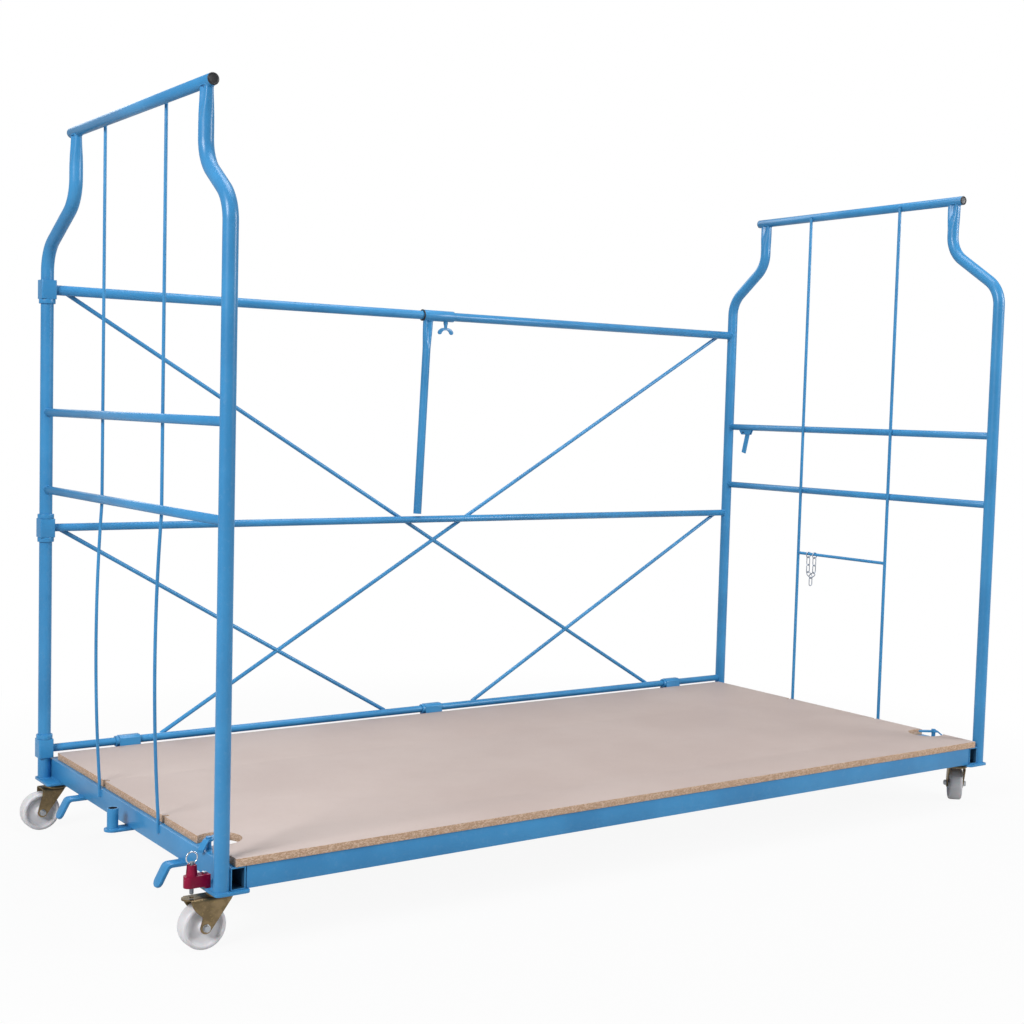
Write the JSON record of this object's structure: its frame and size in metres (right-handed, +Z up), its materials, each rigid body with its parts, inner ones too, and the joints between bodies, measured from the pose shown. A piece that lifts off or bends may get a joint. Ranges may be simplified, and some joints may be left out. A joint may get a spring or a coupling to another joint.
{
  "type": "furniture transport trolley",
  "caption": "Long steel-tube trolley with high end frames, an open front, a braced back, a folding chipboard deck and swivelling casters.",
  "frame": {"origin": "on the floor under the middle of the whole trolley", "axes": "+X along the trolley from the swinging left end to the right end, +Y from the open front to the braced back, +Z up"},
  "size_m": [2.5996, 1.1905, 1.8484],
  "materials": {
    "blue_paint": "glossy powder coat",
    "chipboard": "smooth coated face, raw sawn edges",
    "zinc": "zinc plated",
    "chromate": "zinc plated, yellowish",
    "chrome": "polished",
    "red_paint": "glossy",
    "black_plastic": "matt",
    "white_nylon": "satin, slightly translucent"
  },
  "bodies": {
    "right_end_and_back": {"right_front_post": "blue_paint", "right_rear_post": "blue_paint", "right_top_bar": "blue_paint", "right_bar_caps": "black_plastic", "right_side_rails": "blue_paint", "right_rods": "blue_paint", "chain_bar": "blue_paint", "right_end_beam": "blue_paint", "right_foot_plates": "blue_paint", "right_swivel_heads": "zinc", "back_top_rail": "blue_paint", "back_middle_rail": "blue_paint", "back_bottom_rail": "blue_paint", "braces_falling_right": "blue_paint", "braces_falling_left": "blue_paint", "hinge_sleeves": "blue_paint", "rail_stop_rings": "blue_paint", "hold_lever_bracket": "blue_paint", "right_latch_bolt": "zinc"},
    "left_end": {"left_front_post": "blue_paint", "left_rear_post": "blue_paint", "left_top_bar": "blue_paint", "left_bar_caps": "black_plastic", "left_side_rails": "blue_paint", "left_rods": "blue_paint", "left_end_beam": "blue_paint", "left_foot_plates": "blue_paint", "left_swivel_heads": "zinc", "post_stop_rings": "blue_paint", "coupling_socket": "blue_paint", "coupling_hooks": "blue_paint", "lock_housing": "red_paint", "left_bolts": "zinc"},
    "deck": {"deck_board": "chipboard", "deck_front_beam": "blue_paint", "deck_rear_beam": "blue_paint", "deck_cross_members": "blue_paint", "deck_straps": "blue_paint"},
    "lock_pin": {"lock_pin": "zinc"},
    "lock_ring": {"lock_ring": "chrome"},
    "left_latch": {"left_latch": "blue_paint"},
    "right_latch": {"right_latch": "blue_paint"},
    "hold_lever": {"hold_lever": "blue_paint"},
    "safety_chain": {"safety_chain": "zinc"},
    "divider_slider": {"divider_bushes": "black_plastic"},
    "divider": {"divider_sleeve": "blue_paint", "divider_arm": "blue_paint"},
    "wing_screw": {"wing_screw": "blue_paint"},
    "swivel_front_left": {"fork_front_left": "chromate", "axle_front_left": "zinc"},
    "wheel_front_left": {"wheel_front_left": "white_nylon"},
    "swivel_rear_left": {"fork_rear_left": "chromate", "axle_rear_left": "zinc"},
    "wheel_rear_left": {"wheel_rear_left": "white_nylon"},
    "swivel_front_right": {"fork_front_right": "chromate", "axle_front_right": "zinc"},
    "wheel_front_right": {"wheel_front_right": "white_nylon"},
    "swivel_rear_right": {"fork_rear_right": "chromate", "axle_rear_right": "zinc"},
    "wheel_rear_right": {"wheel_rear_right": "white_nylon"}
  },
  "joints": [
    {"name": "deck_fold", "type": "hinge", "parent": "right_end_and_back", "child": "deck", "pos_m": [0.01217, 0.5726, 0.21], "axis": [-1, 0, 0], "range_deg": [0, 89]},
    {"name": "left_end_swing", "type": "hinge", "parent": "right_end_and_back", "child": "left_end", "pos_m": [-1.22783, 0.5726, 1], "axis": [0, 0, -1], "range_deg": [0, 95]},
    {"name": "swivel_front_left", "type": "hinge", "parent": "left_end", "child": "swivel_front_left", "pos_m": [-1.20783, -0.5264, 0.116], "axis": [0, 0, 1], "continuous": true},
    {"name": "roll_front_left", "type": "hinge", "parent": "swivel_front_left", "child": "wheel_front_left", "pos_m": [-1.24983, -0.5264, 0.05], "axis": [0, 1, 0], "continuous": true},
    {"name": "swivel_rear_left", "type": "hinge", "parent": "left_end", "child": "swivel_rear_left", "pos_m": [-1.20783, 0.5396, 0.116], "axis": [0, 0, 1], "continuous": true},
    {"name": "roll_rear_left", "type": "hinge", "parent": "swivel_rear_left", "child": "wheel_rear_left", "pos_m": [-1.24983, 0.5396, 0.05], "axis": [0, 1, 0], "continuous": true},
    {"name": "swivel_front_right", "type": "hinge", "parent": "right_end_and_back", "child": "swivel_front_right", "pos_m": [1.22417, -0.5214, 0.116], "axis": [0, 0, 1], "continuous": true},
    {"name": "roll_front_right", "type": "hinge", "parent": "swivel_front_right", "child": "wheel_front_right", "pos_m": [1.25387, -0.4917, 0.05], "axis": [0.7071, -0.7071, 0], "continuous": true},
    {"name": "swivel_rear_right", "type": "hinge", "parent": "right_end_and_back", "child": "swivel_rear_right", "pos_m": [1.22417, 0.5396, 0.116], "axis": [0, 0, 1], "continuous": true},
    {"name": "roll_rear_right", "type": "hinge", "parent": "swivel_rear_right", "child": "wheel_rear_right", "pos_m": [1.18217, 0.5396, 0.05], "axis": [0, 1, 0], "continuous": true},
    {"name": "lock_pin_slide", "type": "slide", "parent": "left_end", "child": "lock_pin", "axis": [0, 0, 1], "range_m": [-0.014, 0]},
    {"name": "lock_ring_tip", "type": "hinge", "parent": "lock_pin", "child": "lock_ring", "pos_m": [-1.27383, -0.5264, 0.1865], "axis": [1, 0, 0], "range_deg": [0, 80]},
    {"name": "left_latch_turn", "type": "hinge", "parent": "left_end", "child": "left_latch", "pos_m": [-1.19348, -0.4314, 0.204], "axis": [0, 0, -1], "range_deg": [0, 125]},
    {"name": "right_latch_turn", "type": "hinge", "parent": "right_end_and_back", "child": "right_latch", "pos_m": [1.21782, -0.4314, 0.204], "axis": [0, 0, 1], "range_deg": [0, 125]},
    {"name": "hold_lever_lift", "type": "hinge", "parent": "right_end_and_back", "child": "hold_lever", "pos_m": [1.25217, 0.4746, 1.10135], "axis": [1, 0, 0], "range_deg": [0, 40]},
    {"name": "chain_swing", "type": "hinge", "parent": "right_end_and_back", "child": "safety_chain", "pos_m": [1.23652, 0.1286, 0.702], "axis": [0, 1, 0], "range_deg": [-30, 30]},
    {"name": "divider_travel", "type": "slide", "parent": "right_end_and_back", "child": "divider_slider", "axis": [1, 0, 0], "range_m": [-1.05, 1]},
    {"name": "divider_swing", "type": "hinge", "parent": "divider_slider", "child": "divider", "pos_m": [0.00217, 0.5726, 1.448], "axis": [1, 0, 0], "range_deg": [-100, 0]},
    {"name": "wing_screw_turn", "type": "hinge", "parent": "divider", "child": "wing_screw", "pos_m": [0.03117, 0.5726, 1.4], "axis": [0, 0, 1], "continuous": true}
  ]
}
